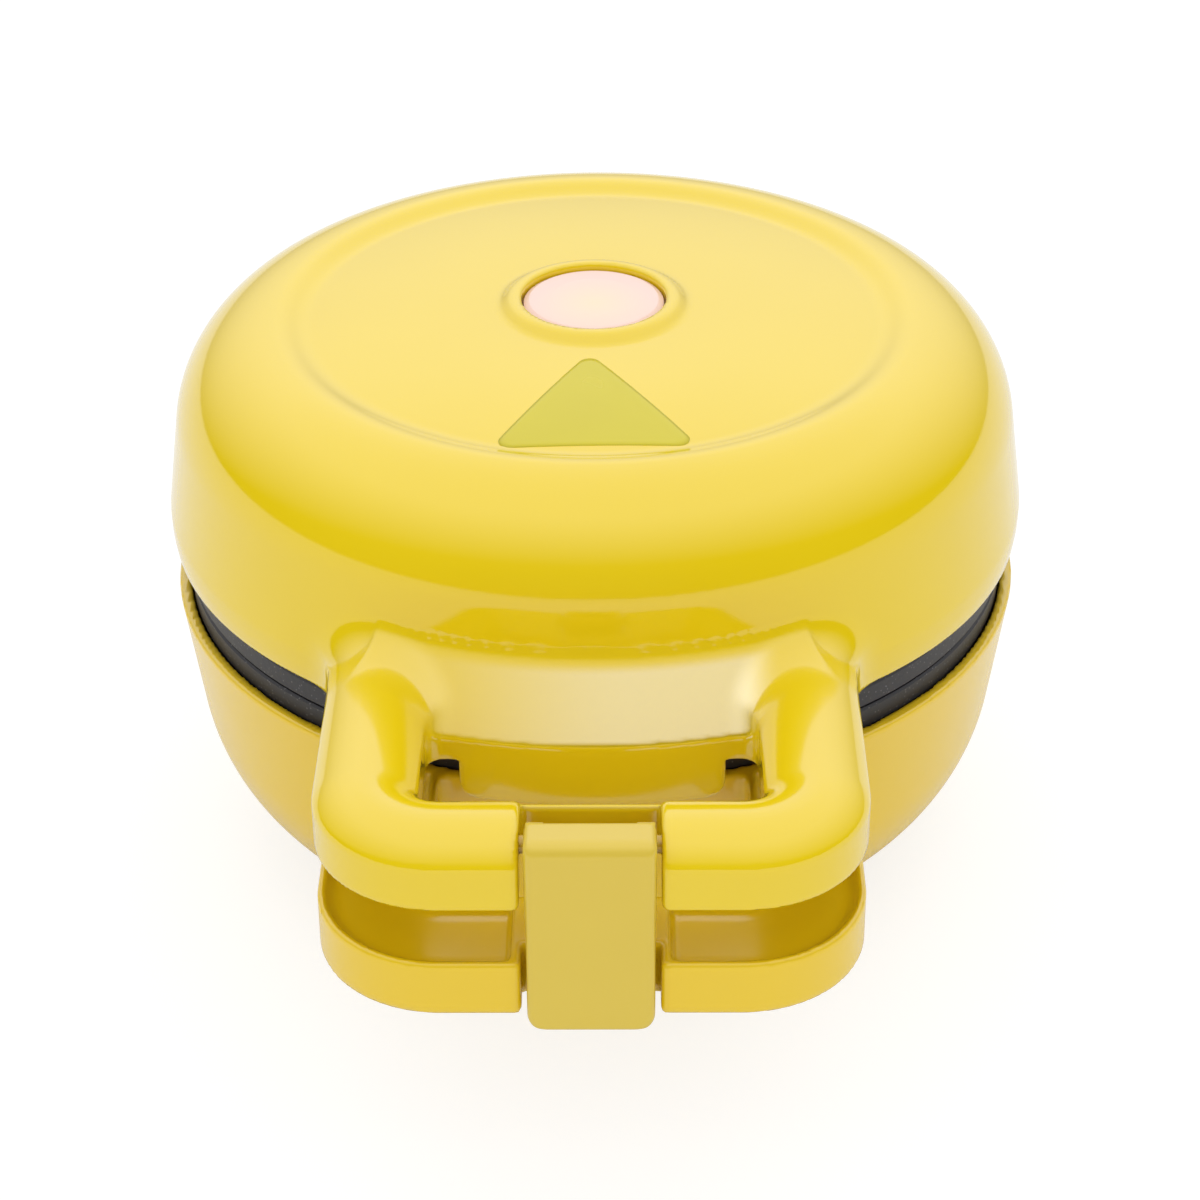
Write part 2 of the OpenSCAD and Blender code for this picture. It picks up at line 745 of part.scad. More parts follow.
module lid_leads() {
    z = upper_face + liner_z + liner_t + 1.6;
    color("#efe9dc") on_axis(rim_z) {
        for (s = [-1, 1]) translate([s * 1.6, 1.5, z]) rotate(90) {
            rotate([0, 90, 0]) cylinder(r = 1.1, h = 42, $fn = 24);
            translate([0, 0, 1]) cylinder(r = 0.9, h = 1, $fn = 24);
        }
    }
}

// ---- latch ----------------------------------------------------------------------------

module latch_pin() {
    color(steel) on_axis(rim_z) latch_axis(latch_pin_r, slot_w + 2 * cheek);
}

// Side of the latch, as [y, z] from its face at the rim height
module latch_side_plate() {
    b = 2;
    t = latch_t;
    hook = hook_tip - face_y;
    polygon(concat(
        [[0.6, -latch_low], [0, -latch_low + 0.8]],
        arc([b, latch_top - b], b, 180, 90, 6),
        [[pivot_back - 0.4, latch_top], [pivot_back, latch_top - 0.4],
            [pivot_back, latch_top - t], [t + 0.8,
            latch_top - t], [t, latch_top - t - 0.8], [t, -latch_low + hook_t],
            [hook - 0.5, -latch_low + hook_t], [hook, -latch_low + hook_t - 0.6],
            [hook, -latch_low + 0.8], [hook - 0.8, -latch_low]]));
}

module latch_clip() {
    ear_t = 2.4;
    r = 2.8;
    corner = 2.9;
    color(yellow) on_axis(rim_z) translate([0, face_y, 0]) difference() {
        union() {
            intersection() {
                along_x(latch_w) latch_side_plate();
                // rounded lower corners, seen from the front
                rotate([90, 0, 0]) linear_extrude(40, center = true) union() {
                    translate([-latch_w / 2, -latch_low + corner])
                        square([latch_w, latch_top + latch_low]);
                    translate([-latch_w / 2 + corner, -latch_low])
                        square([latch_w - 2 * corner, 20]);
                    for (s = [-1, 1]) translate([s * (latch_w / 2 - corner),
                        -latch_low + corner]) circle(corner);
                }
            }
            // ears that carry the pin
            for (s = [-1, 1]) translate([s * (latch_w - ear_t) / 2, 0, 0])
                along_x(ear_t) union() {
                    translate([pivot_back, pivot_z]) circle(r);
                    polygon([[1, pivot_z - 8], [latch_t, pivot_z - 8], [pivot_back + r - 0.6,
                        pivot_z - 1.6], [pivot_back, latch_top - 1], [1, latch_top - 1]]);
                }
        }
        translate([0, -face_y, 0]) latch_axis(latch_pin_r + pin_clear, big);
    }
}

// ---- hinge ------------------------------------------------------------------------------

module hinge_pins() {
    len = 2 * ear_w + ear_gap;
    color(steel) on_axis(rim_z + hinge_h) for (s = [-1, 1])
        translate([s * (ear_x + len / 2) - len / 2, hinge_y, 0]) rotate([0, 90, 0])
            cylinder(r = hinge_pin_r, h = len);
}

base_shell();
bottom_cover();
feet();
cover_screws();
lower_liner();
lower_plate();
lower_element();
lower_plate_screws();
thermostat();
thermal_fuse();
terminal_block();
base_leads();
cord_gland();
hinge_pins();
lid_shell();
upper_liner();
upper_plate();
upper_element();
upper_plate_screws();
indicator_lens();
lamp_holder();
lamp();
holder_screws();
lid_leads();
latch_pin();
latch_clip();
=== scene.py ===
import math

import bpy
import numpy as np
from mathutils import Matrix, Vector


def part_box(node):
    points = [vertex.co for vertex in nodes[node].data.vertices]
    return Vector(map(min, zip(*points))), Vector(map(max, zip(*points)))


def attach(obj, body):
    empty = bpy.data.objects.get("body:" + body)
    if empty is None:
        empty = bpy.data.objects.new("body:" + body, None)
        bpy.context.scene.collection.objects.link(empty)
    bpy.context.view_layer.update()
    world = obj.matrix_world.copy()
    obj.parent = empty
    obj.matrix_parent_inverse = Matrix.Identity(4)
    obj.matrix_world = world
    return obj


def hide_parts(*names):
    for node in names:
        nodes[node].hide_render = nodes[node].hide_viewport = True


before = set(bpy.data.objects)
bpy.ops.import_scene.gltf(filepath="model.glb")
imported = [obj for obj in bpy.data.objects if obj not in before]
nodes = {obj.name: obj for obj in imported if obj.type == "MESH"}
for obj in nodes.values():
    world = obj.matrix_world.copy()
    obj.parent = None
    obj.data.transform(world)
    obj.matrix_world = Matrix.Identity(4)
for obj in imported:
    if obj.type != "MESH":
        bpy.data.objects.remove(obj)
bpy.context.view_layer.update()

# ---------------------------------------------------------------- base moulding
# The lower half of the body, injection moulded in glossy yellow plastic in one piece with
# the lower handle, the outer hinge ears and the pad for the cord gland. Its forms are
# blended into each other as a toolmaker blends them, with soft roots and eased edges.

# Sizes are in millimetres from the body's upright axis and the base's rim
MM = 0.001
plate_low, plate_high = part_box("lower_plate")
plate_proud = 2.95
axis_y = (plate_low[1] + plate_high[1]) / 2 / MM
rim_z = plate_high[2] / MM - plate_proud
rim_r = 65.0
wall = 2.2
rim_wall = 1.8


def arc(centre, radius, start, end, count):
    angles = np.radians(np.linspace(start, end, count))
    return [(centre[0] + radius * math.cos(a), centre[1] + radius * math.sin(a))
            for a in angles]


def touch(centre, radius, point, side):
    """The angle at which a line from a point just touches an arc."""
    du, dv = point[0] - centre[0], point[1] - centre[1]
    lean = math.degrees(math.acos(radius / math.hypot(du, dv)))
    return math.degrees(math.atan2(dv, du)) + side * lean


def both_sides(outline):
    return outline + [(-u, v) for u, v in reversed(outline)]


def profile(outline, step=0.25, margin=9.0, soften=0):
    """Distance to a closed outline, negative inside, as a function of two coordinates."""
    points = np.array(outline, float)
    low = points.min(0) - margin
    high = points.max(0) + margin
    across = np.arange(low[0], high[0] + step, step)
    up = np.arange(low[1], high[1] + step, step)
    u, v = np.meshgrid(across, up, indexing="ij")
    nearest = np.full(u.shape, 1e9)
    inside = np.zeros(u.shape, bool)
    for (u0, v0), (u1, v1) in zip(points, np.roll(points, -1, 0)):
        du, dv = u1 - u0, v1 - v0
        along = np.clip(((u - u0) * du + (v - v0) * dv) / max(du * du + dv * dv, 1e-12), 0, 1)
        nearest = np.minimum(nearest, np.hypot(u - u0 - along * du, v - v0 - along * dv))
        if v0 != v1:
            crosses = (v0 > v) != (v1 > v)
            inside ^= crosses & (u < du * (v - v0) / dv + u0)
    table = np.where(inside, -nearest, nearest)
    for _ in range(soften):
        wide = np.pad(table, 1, "edge")
        table = (wide[:-2, 1:-1] + wide[2:, 1:-1] + wide[1:-1, :-2] + wide[1:-1, 2:]
                 + 2 * table) / 6

    def distance(a, b):
        a = np.clip((a - low[0]) / step, 0, len(across) - 1.001)
        b = np.clip((b - low[1]) / step, 0, len(up) - 1.001)
        i, j = a.astype(int), b.astype(int)
        a, b = a - i, b - j
        return ((table[i, j] * (1 - a) + table[i + 1, j] * a) * (1 - b)
                + (table[i, j + 1] * (1 - a) + table[i + 1, j + 1] * a) * b)

    return distance


def join(a, b, root):
    """Adds form b to form a, with a filled root between them."""
    mix = np.clip(0.5 + 0.5 * (b - a) / root, 0, 1)
    return b * (1 - mix) + a * mix - root * mix * (1 - mix)


def keep(a, b, ease):
    """Keeps what is in both forms, with an eased edge."""
    return -join(-a, -b, ease)


def cut(a, b, ease):
    """Takes form b out of form a, with an eased edge."""
    return keep(a, -b, ease)


def put_in_scene(name, data):
    placed = bpy.data.objects.new(name, data)
    bpy.context.collection.objects.link(placed)
    return placed


def mould(name, form, low, high, step):
    """Meshes a form: one point in each small cell that the surface passes through."""
    block = 8
    batch = 1500
    low = np.array(low, float)
    blocks = np.ceil((np.array(high) - low) / (step * block)).astype(int) + 1
    size = blocks * block

    # Measure each block's middle, then every cell of the blocks near the surface
    middles = [low[k] + step * (np.arange(blocks[k]) * block + (block - 1) / 2)
               for k in range(3)]
    rough = form(*np.meshgrid(*middles, indexing="ij"))
    values = rough.astype(np.float32)
    for k in range(3):
        values = np.repeat(values, block, axis=k)
    half_diagonal = block * 0.87
    busy = np.argwhere(np.abs(rough) < step * (half_diagonal + 2))
    inner = np.arange(block)
    view = values.reshape(blocks[0], block, blocks[1], block, blocks[2], block)
    for first in range(0, len(busy), batch):
        part = busy[first:first + batch]
        places = [low[k] + step * (part[:, k, None] * block + inner) for k in range(3)]
        view[part[:, 0], :, part[:, 1], :, part[:, 2], :] = form(
            places[0][:, :, None, None] + np.zeros((1, 1, block, block)),
            places[1][:, None, :, None] + np.zeros((1, block, 1, block)),
            places[2][:, None, None, :] + np.zeros((1, block, block, 1)))

    # Put one point in each cell that has corners on both sides of the surface
    inside = values < 0
    corners = [np.array(c) for c in np.ndindex(2, 2, 2)]
    total = sum(inside[c[0]:size[0] - 1 + c[0], c[1]:size[1] - 1 + c[1],
                       c[2]:size[2] - 1 + c[2]].astype(np.int8) for c in corners)
    cells = np.argwhere((total > 0) & (total < len(corners)))
    number = np.full(total.shape, -1, np.int32)
    number[tuple(cells.T)] = np.arange(len(cells))
    spot = np.zeros((len(cells), 3))
    hits = np.zeros(len(cells))
    for corner in corners:
        for k in range(3):
            if corner[k]:
                continue
            other = corner.copy()
            other[k] = 1
            a = values[tuple((cells + corner).T)].astype(float)
            b = values[tuple((cells + other).T)].astype(float)
            crossing = (a < 0) != (b < 0)
            share = np.where(crossing, a / np.where(crossing, a - b, 1), 0)
            spot += np.where(crossing[:, None], corner + share[:, None] * (other - corner), 0)
            hits += crossing
    spot = low + step * (cells + spot / hits[:, None])

    # Join the four points round each crossed edge into a face that looks outwards
    quads = []
    for k in range(3):
        near, far = [(1, 2), (2, 0), (0, 1)][k]
        edge_a = inside[tuple(slice(0, -1) if d == k else slice(1, -1) for d in range(3))]
        edge_b = inside[tuple(slice(1, None) if d == k else slice(1, -1) for d in range(3))]
        for outward in (True, False):
            found = np.argwhere((edge_a & ~edge_b) if outward else (~edge_a & edge_b))
            found = found + np.array([0 if d == k else 1 for d in range(3)])
            ring = []
            for da, db in ((-1, -1), (0, -1), (0, 0), (-1, 0)):
                shift = np.zeros(3, int)
                shift[near], shift[far] = da, db
                ring.append(number[tuple((found + shift).T)])
            quads.append(np.stack(ring if outward else ring[::-1], 1))
    quads = np.concatenate(quads)
    quads = quads[(quads >= 0).all(1)]

    # Move the points onto the surface in three short steps
    nudge = 0.08
    least_slope = 0.2
    longest = 0.4 * step
    for _ in range(3):
        here = form(*spot.T)
        slope = np.stack([(form(*(spot + nudge * e).T) - form(*(spot - nudge * e).T))
                          / (2 * nudge) for e in np.eye(3)], 1)
        move = -here[:, None] * slope / np.maximum((slope ** 2).sum(1), least_slope)[:, None]
        spot += np.clip(move, -longest, longest)

    mesh = bpy.data.meshes.new(name)
    mesh.vertices.add(len(spot))
    mesh.vertices.foreach_set("co", ((spot + [0, axis_y, rim_z]) * MM).astype(np.float32).ravel())
    mesh.loops.add(quads.size)
    mesh.loops.foreach_set("vertex_index", quads.astype(np.int32).ravel())
    mesh.polygons.add(len(quads))
    mesh.polygons.foreach_set("loop_start", np.arange(0, quads.size, 4, dtype=np.int32))
    mesh.polygons.foreach_set("use_smooth", np.ones(len(quads), bool))
    mesh.update(calc_edges=True)
    mesh.validate()
    return put_in_scene(name, mesh)


# Handle loops: both follow the same rounded path, from loop_end to the front
loop_front = 104.3
loop_x = 36.5
loop_r = 17.0
loop_end = -45.0
corner_x = loop_x - loop_r
corner_y = -(loop_front - loop_r)
slot_half = 9.05
bar_wall = 2.0


def from_path(x, y, middle):
    """Distance outwards from the middle of the handle's bar."""
    across = np.abs(x)
    leg = across - (loop_x - middle)
    front = -y - (loop_front - middle)
    corner = np.hypot(across - corner_x, y - corner_y) - (loop_r - middle)
    return np.where(y > corner_y, leg, np.where(across < corner_x, front, corner))


# Bowl: a flat floor, a large roll, and a side that leans out to the rim
base_depth = 42.0
roll_r = 27.5
side_lean = 2.2
roll_c = (rim_r - roll_r - side_lean, -(base_depth - roll_r))
run_on = 9
draft = 0.14


def bowl_outline(inset):
    radius = roll_r - inset
    top = (rim_r - min(inset, rim_wall), 0)
    turn = touch(roll_c, radius, top, -1)
    rise = (top[0] + (draft * run_on if inset == 0 else 0), run_on)
    return both_sides([(0, -base_depth + inset)] + arc(roll_c, radius, -90, turn, 60)
                      + [top, rise])


bowl = profile(bowl_outline(0))
bowl_inside = profile(bowl_outline(wall))

# Lower handle: a bar with a dished top, and a slot with a bead for the latch's hook
low_bar = 14.7
half_bar = low_bar / 2
low_skirt = 8.2
dish = 1.7
dish_r = 2.4
dish_edge = 0.8
dish_start = rim_r + 0.3
dish_end = -90
low_hollow_start = 66.5
slot_back = -99.9
slot_lip = 1.3
bead_r = 1.1
bead_in = 0.3
bead_up = 1.3
dish_form = profile(both_sides(
    [(0, -dish)] + arc((half_bar - 3.3, 0.7), dish_r, -90, -17, 16)
    + [(half_bar - dish_edge, run_on)]), step=0.12)

# Hinge ears, one outside each of the lid's two
hinge_y = 69.5
hinge_z = 4.25
ear_r = 4.5
ear_w = 5.5
ear_gap = 0.4
lid_ear_x = 15.0
base_ear_x = lid_ear_x + ear_w + ear_gap
base_ear_hole = 1.52
base_ear_root = rim_r - 6
base_ear_neck = -0.3
base_ear = profile([(base_ear_root, -14), (rim_r + 0.5, -9), (hinge_y + ear_r, -2)]
                   + arc((hinge_y, hinge_z), ear_r, 0, 180, 40)
                   + [(hinge_y - ear_r, base_ear_neck), (base_ear_root, base_ear_neck)])

# Cord gland's pad, screw posts and bottom cover
gland_z = -21.0
gland_seat = rim_r - 1.9
pad_r = 7.7
pad_root = rim_r - 10
gland_hole_r = 5.3
gland_hole_end = rim_r - 12
post_ring = 50
post_r = 3.6
base_post_top = -18.2
cover_seat_r = 35.3
cover_ledge_r = 32.5
cover_t = 2
cover_hole_up = 6


def screw_posts(x, y):
    """Four round posts on the body's two centre lines, which take the plate's screws."""
    across, along = np.abs(x), np.abs(y)
    return np.hypot(np.maximum(across, along) - post_ring, np.minimum(across, along)) - post_r


def base_form(x, y, z):
    r = np.hypot(x, y)
    across = np.abs(x)
    offset = from_path(x, y, half_bar)

    # Bowl and handle bar, cut off flat at the rim
    body = bowl(r, z)
    bar = keep(np.abs(offset) - half_bar, -low_skirt - z, 0.8)
    bar = np.maximum(bar, y - loop_end)
    solid = join(body, bar, 2.5)
    solid = keep(solid, z, 0.5)

    # The handle's dish, its hollow underside and the latch's slot
    trough = np.maximum(np.maximum(dish_form(offset, z), dish_start - r), y)
    lips = np.maximum(across - slot_half - slot_lip, y - dish_end)
    solid = cut(solid, keep(trough, -lips, 1.2), 0.3)
    hollow = np.maximum(np.abs(offset) - half_bar + bar_wall, z + dish + bar_wall)
    hollow = np.maximum(np.maximum(hollow, low_hollow_start - r), y)
    cheeks = np.maximum(across - slot_half - bar_wall, y - slot_back - bar_wall)
    solid = cut(solid, np.maximum(hollow, -cheeks), 0.4)
    slot = np.maximum(across - slot_half, y - slot_back)
    solid = cut(solid, slot, 0.8)
    bead = np.maximum(np.hypot(y - slot_back - bead_in, z + low_skirt - bead_up) - bead_r,
                      across - slot_half + 1)
    solid = np.minimum(solid, bead)

    # Hinge ears and gland pad
    ear = keep(base_ear(y, z), np.abs(across - base_ear_x - ear_w / 2) - ear_w / 2, 0.8)
    solid = join(solid, ear, 1.2)
    gland_r = np.hypot(x, z - gland_z)
    pad = np.maximum(np.maximum(gland_r - pad_r, y - gland_seat), pad_root - y)
    solid = join(solid, pad, 1.5)

    # Inside, screw posts, and the holes for the cover, the gland and the hinge pins
    solid = np.maximum(solid, -bowl_inside(r, z))
    posts = np.maximum(np.maximum(screw_posts(x, y), z - base_post_top), body + 1)
    solid = np.minimum(solid, posts)
    cover = np.minimum(np.maximum(r - cover_seat_r, z + base_depth - cover_t), r - cover_ledge_r)
    cover = np.maximum(cover, z + base_depth - cover_hole_up)
    solid = cut(solid, cover, 0.3)
    solid = np.maximum(solid, -np.maximum(gland_r - gland_hole_r, gland_hole_end - y))
    pin = np.hypot(y - hinge_y, z - hinge_z) - base_ear_hole
    return np.maximum(solid, -pin)


base_moulding = mould("base_moulding", base_form, low=(-67, -106, -43.5), high=(67, 76, 10),
                      step=0.7)
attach(base_moulding, "base")
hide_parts("base_shell")


def fill_in(tree, step, inputs):
    """Sets inputs of a step in a finish: each is a fixed value or an earlier step's result."""
    for socket, value in inputs.items():
        if isinstance(value, bpy.types.NodeSocket):
            tree.links.new(value, step.inputs[socket])
        else:
            step.inputs[socket].default_value = value


def add_step(tree, kind, inputs=None, **settings):
    """Adds a step to a finish, such as a noise or a ramp."""
    step = tree.nodes.new("ShaderNode" + kind)
    for name, value in settings.items():
        setattr(step, name, value)
    fill_in(tree, step, inputs or {})
    return step


def two_tones(tree, source, low, dark, high, light):
    """Colour that goes from one tone to the other while the source goes from low to high."""
    ramp = add_step(tree, "ValToRGB", {"Fac": source})
    stops = ramp.color_ramp.elements
    stops[0].position = low
    stops[1].position = high
    stops[0].color = (*dark, 1)
    stops[1].color = (*light, 1)
    return ramp.outputs["Color"]


def new_finish(name):
    material = bpy.data.materials.new(name)
    material.use_nodes = True
    tree = material.node_tree
    return material, tree, tree.nodes["Principled BSDF"]


def sheen_marks(tree, shader, scale, low, high):
    """Slight unevenness of gloss, as handling and polishing leave it."""
    place = add_step(tree, "TexCoord").outputs["Object"]
    noise = add_step(tree, "TexNoise", {"Vector": place, "Scale": scale, "Detail": 3.0})
    marks = noise.outputs["Fac"]
    spread = add_step(tree, "MapRange", {"Value": marks, "To Min": low, "To Max": high})
    fill_in(tree, shader, {"Roughness": spread.outputs["Result"]})
    return marks


def uneven_finish(name, scale, low, high, dark, light, also):
    """A finish whose gloss and colour drift a little, with the shader's other fixed values."""
    material, tree, shader = new_finish(name)
    marks = sheen_marks(tree, shader, scale, low, high)
    fill_in(tree, shader, {"Base Color": two_tones(tree, marks, 0.3, dark, 0.7, light)})
    fill_in(tree, shader, also)
    return material


coat_weight = 0.5
coat_ior = 1.6


def yellow_plastic(name, dark, light, low, high):
    return uneven_finish(name, 22, low, high, dark, light,
                         {"IOR": 1.5, "Coat Weight": coat_weight, "Coat IOR": coat_ior,
                          "Coat Roughness": low})


def dress(piece, material):
    piece.data.materials.clear()
    piece.data.materials.append(material)
    for face in piece.data.polygons:
        face.material_index = 0


# Painted shade: the base's yellow is a little deeper and more orange than the lid's, to match how
# the bowl and the dish under the handle look in their shade.
base_yellow = yellow_plastic("base_yellow_plastic", (0.800, 0.545, 0.003),
                             (0.820, 0.562, 0.006), 0.20, 0.26)
dress(base_moulding, base_yellow)

# ---------------------------------------------------------------- inner parts and hardware
# Screws, pins, feet, gland, heat shields, elements and wiring keep their turned and pressed
# shapes, each with its own metal, rubber or sleeve finish. The bottom cover and the latch's
# pin are as yellow as the base.
def plain_finish(name, dark, light, low, high, metal=0.0, scale=80):
    return uneven_finish(name, scale, low, high, dark, light, {"Metallic": metal})


steel = plain_finish("zinc_steel", (0.50, 0.50, 0.51), (0.62, 0.62, 0.63), 0.25, 0.4, 1.0)
sheet_metal = plain_finish("bright_sheet", (0.70, 0.70, 0.71), (0.78, 0.78, 0.79), 0.2, 0.35, 1.0)
hot_steel = plain_finish("heated_steel", (0.22, 0.20, 0.19), (0.36, 0.34, 0.32), 0.4, 0.6, 1.0)
rubber = plain_finish("black_rubber", (0.018, 0.018, 0.02), (0.026, 0.026, 0.028), 0.6, 0.75)
pale_moulding = plain_finish("pale_moulding", (0.72, 0.69, 0.60), (0.78, 0.75, 0.66), 0.4, 0.5)
sleeve = plain_finish("silicone_sleeve", (0.74, 0.71, 0.64), (0.80, 0.77, 0.70), 0.45, 0.6)
woven = plain_finish("woven_sleeve", (0.58, 0.50, 0.36), (0.74, 0.67, 0.52), 0.7, 0.9, scale=700)
finishes = {
    "cover_screws": steel, "lower_plate_screws": steel, "upper_plate_screws": steel,
    "hinge_pins": steel, "holder_screws": steel, "latch_pin": base_yellow,
    "lower_liner": sheet_metal, "upper_liner": sheet_metal, "thermostat": sheet_metal,
    "lower_element": hot_steel, "upper_element": hot_steel,
    "feet": rubber, "cord_gland": rubber,
    "terminal_block": pale_moulding, "lamp_holder": pale_moulding,
    "base_leads": sleeve, "lid_leads": sleeve, "thermal_fuse": woven,
    "bottom_cover": base_yellow,
}
for node, material in finishes.items():
    dress(nodes[node], material)

# ---------------------------------------------------------------- cooking plates
# Two aluminium castings with four ring moulds each, sprayed with a charcoal non-stick
# coating full of fine pale specks.
def speckled_coating():
    material, tree, shader = new_finish("speckled_coating")
    place = add_step(tree, "TexCoord").outputs["Object"]
    specks = add_step(tree, "TexVoronoi", {"Vector": place, "Scale": 1500})
    grain = add_step(tree, "TexNoise", {"Vector": place, "Scale": 900})
    bump = add_step(tree, "Bump", {"Height": grain.outputs["Fac"], "Strength": 0.25,
                                   "Distance": 0.0002})
    fleck, charcoal = (0.16, 0.155, 0.16), (0.026, 0.025, 0.029)
    colour = two_tones(tree, specks.outputs["Distance"], 0.08, fleck, 0.22, charcoal)
    fill_in(tree, shader, {"Base Color": colour, "Normal": bump.outputs["Normal"],
                           "Roughness": 0.45})
    return material


coating = speckled_coating()
for plate in ("lower_plate", "upper_plate"):
    dress(nodes[plate], coating)

# ---------------------------------------------------------------- lid moulding
# The upper half, moulded in the same glossy yellow: a domed lid with a sunken disc and a
# raised ring for the lens, the upper handle with its latch recess, the apron that flares
# out between the handle's legs, the tab below it, and the inner hinge ears.
lip_z = 8.5
below_lip = -6

# Dome, sunken disc and lens ring, each as steps outwards and up or down
bulge = (rim_r + 0.3, lip_z + 5)
crest_z = 42.3
shoulder_r = 17.3
shoulder_c = (rim_r - shoulder_r - 1.4, crest_z - shoulder_r)
disc_r = 43.6
disc_drop = 1.2
disc_dome = 1.9
disc_rim = 0.6
disc_lift = 0.05
disc_step = ((2.6, 0.8), (1.6, 0.5), (disc_rim, 0.2))
lens_r = 10.85
lens_hole_foot = 30
ring_top = crest_z - disc_drop + disc_dome + 1.4
ring_foot_r = lens_r + 3.4
ring_section = ((2.6, 0.7), (1.9, 0.15), (1.4, 0), (0.6, 0))


def disc_rise(share):
    """Height of the disc's dome: the share is 0 at the lens ring and 1 at the disc's edge."""
    return disc_dome * (1 - share * share) + disc_lift


def lid_outline(inset):
    radius = shoulder_r - inset
    side = (bulge[0] - inset, bulge[1])
    turn = touch(shoulder_c, radius, side, 1)
    lip_r = rim_r - (0.1 if inset == 0 else 1.9)
    points = [(lip_r, below_lip), (lip_r, lip_z), (side[0] - 0.05, lip_z + 2.6), side]
    points += arc(shoulder_c, radius, turn, 86, 70)
    floor = crest_z - disc_drop - inset
    edge_r = disc_r - 0.2 * inset
    points += [(edge_r + out, floor + disc_drop * up) for out, up in disc_step]
    points += [(ring_foot_r + (edge_r - disc_rim - ring_foot_r) * share, floor + disc_rise(share))
               for share in np.linspace(1, 0, 30)]
    if inset == 0:
        points += [(lens_r + out, ring_top - down) for out, down in ring_section]
        points += [(0, ring_top)]
    else:
        points += [(0, floor + disc_dome)]
    return both_sides(points)


lid_skin = profile(lid_outline(0), soften=2)
lid_inside = profile(lid_outline(wall))

# Upper handle: a crowned bar with a recess for the latch, which hangs on a pin
bar_w = 13.9
bar_skirt = 6.6
bar_crown = 3.9
high_hollow_start = 66.3
recess_back = -91.6
pivot_y = -99.7
pivot_z = 15.8
latch_pin_hole = 1.22
latch_pin_end = 2.3


def bar_outline(inset):
    radius = (bar_w ** 2 / 4 + bar_crown ** 2) / (2 * bar_crown)
    centre = (0, lip_z + bar_skirt + bar_crown - radius)
    side = bar_w / 2 - inset
    lean = math.degrees(math.acos(side / (radius - inset)))
    return both_sides([(side, below_lip)] + arc(centre, radius - inset, lean, 90, 40))


bar_skin = profile(bar_outline(0), soften=3)
bar_inside = profile(bar_outline(bar_wall))

# Apron between the handle's legs, hollow below, and the tab on its front
apron_r = 73.0
apron_z = 12.6
apron_root = 56
apron_edge = 1.1
apron_hollow_x = 20.6
apron_hollow_in = rim_r + 2
apron_top = 2.4
scoop = (bulge[0] + 1.0, apron_z + 9.7)
scoop_r = 2
tab_x = 18.2
tab_z = 2.6
tab_corner = 2.5
tab_middle = 1
tab_reach = 3
apron_skin = profile([(apron_root, below_lip), (apron_root, scoop[1])]
                     + arc(scoop, scoop_r, 180, 225, 16)
                     + arc((apron_r - apron_edge, apron_z - 0.8), apron_edge, 48, 0, 8)
                     + [(apron_r, below_lip)])
tab_front = profile(both_sides(
    [(0, tab_z)] + arc((tab_x - tab_corner, tab_z + tab_corner), tab_corner, -90, 0, 16)
    + [(tab_x, 20)]))

# Inner hinge ears, and the posts for the upper plate's screws
lid_ear_hole = 1.55
lid_ear_root = rim_r - 5
lid_ear_top = lip_z + 8
lid_post_foot = 24.4
lid_ear = profile(arc((hinge_y, hinge_z), ear_r, 180, 360, 40)
                  + [(hinge_y + ear_r - 1.5, hinge_z + 4.5), (rim_r - 0.5, lid_ear_top),
                     (lid_ear_root, lid_ear_top), (lid_ear_root, hinge_z)])


def lid_form(x, y, z):
    r = np.hypot(x, y)
    across = np.abs(x)
    offset = from_path(x, y, bar_w / 2)

    # Dome, apron and handle bar
    body = lid_skin(r, z)
    leg_middle = loop_x - bar_w / 2
    flare = np.maximum(apron_skin(r, z), np.maximum(across - leg_middle, y))
    bar = np.maximum(bar_skin(offset, z), y - loop_end)
    solid = join(np.minimum(body, flare), bar, 4.5)

    # Cut off flat at the lip, but for the tab
    tab = np.maximum(np.abs(r - apron_r - tab_middle) - tab_reach, tab_front(x, z))
    tab = np.maximum(tab, y)
    solid = keep(solid, np.minimum(lip_z - z, tab), 0.6)
    ear = keep(lid_ear(y, z), np.abs(across - lid_ear_x - ear_w / 2) - ear_w / 2, 0.8)
    solid = join(solid, ear, 1.5)

    # Inside, the hollows of the handle and the apron, the recess and the lens's hole
    solid = cut(solid, lid_inside(r, z), 0.5)
    hollow = np.maximum(bar_inside(offset, z),
                        np.maximum(high_hollow_start - r, slot_half + bar_wall - across))
    solid = cut(solid, np.maximum(hollow, y), 0.4)
    under = np.maximum(np.maximum(apron_hollow_in - r, r - apron_r + wall),
                       np.maximum(z - apron_z + apron_top, across - apron_hollow_x))
    solid = cut(solid, np.maximum(under, y), 0.4)
    recess = np.maximum(across - slot_half, y - recess_back)
    solid = cut(solid, recess, 0.9)
    solid = cut(solid, np.maximum(r - lens_r, lens_hole_foot - z), 0.5)

    # Screw posts, and the holes for the hinge pins and the latch's pin
    posts = np.maximum(np.maximum(screw_posts(x, y), lid_post_foot - z), body + 1)
    solid = np.minimum(solid, posts)
    pin = np.hypot(y - hinge_y, z - hinge_z) - lid_ear_hole
    latch_pin = np.maximum(np.hypot(y - pivot_y, z - pivot_z) - latch_pin_hole,
                           across - slot_half - latch_pin_end)
    return np.maximum(np.maximum(solid, -pin), -latch_pin)


lid_moulding = mould("lid_moulding", lid_form, low=(-68, -106, -1.5), high=(68, 76, 46.5),
                     step=0.6)
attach(lid_moulding, "lid")
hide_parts("lid_shell")
lid_yellow = yellow_plastic("lid_yellow_plastic", (0.800, 0.585, 0.005),
                            (0.820, 0.603, 0.008), 0.08, 0.12)


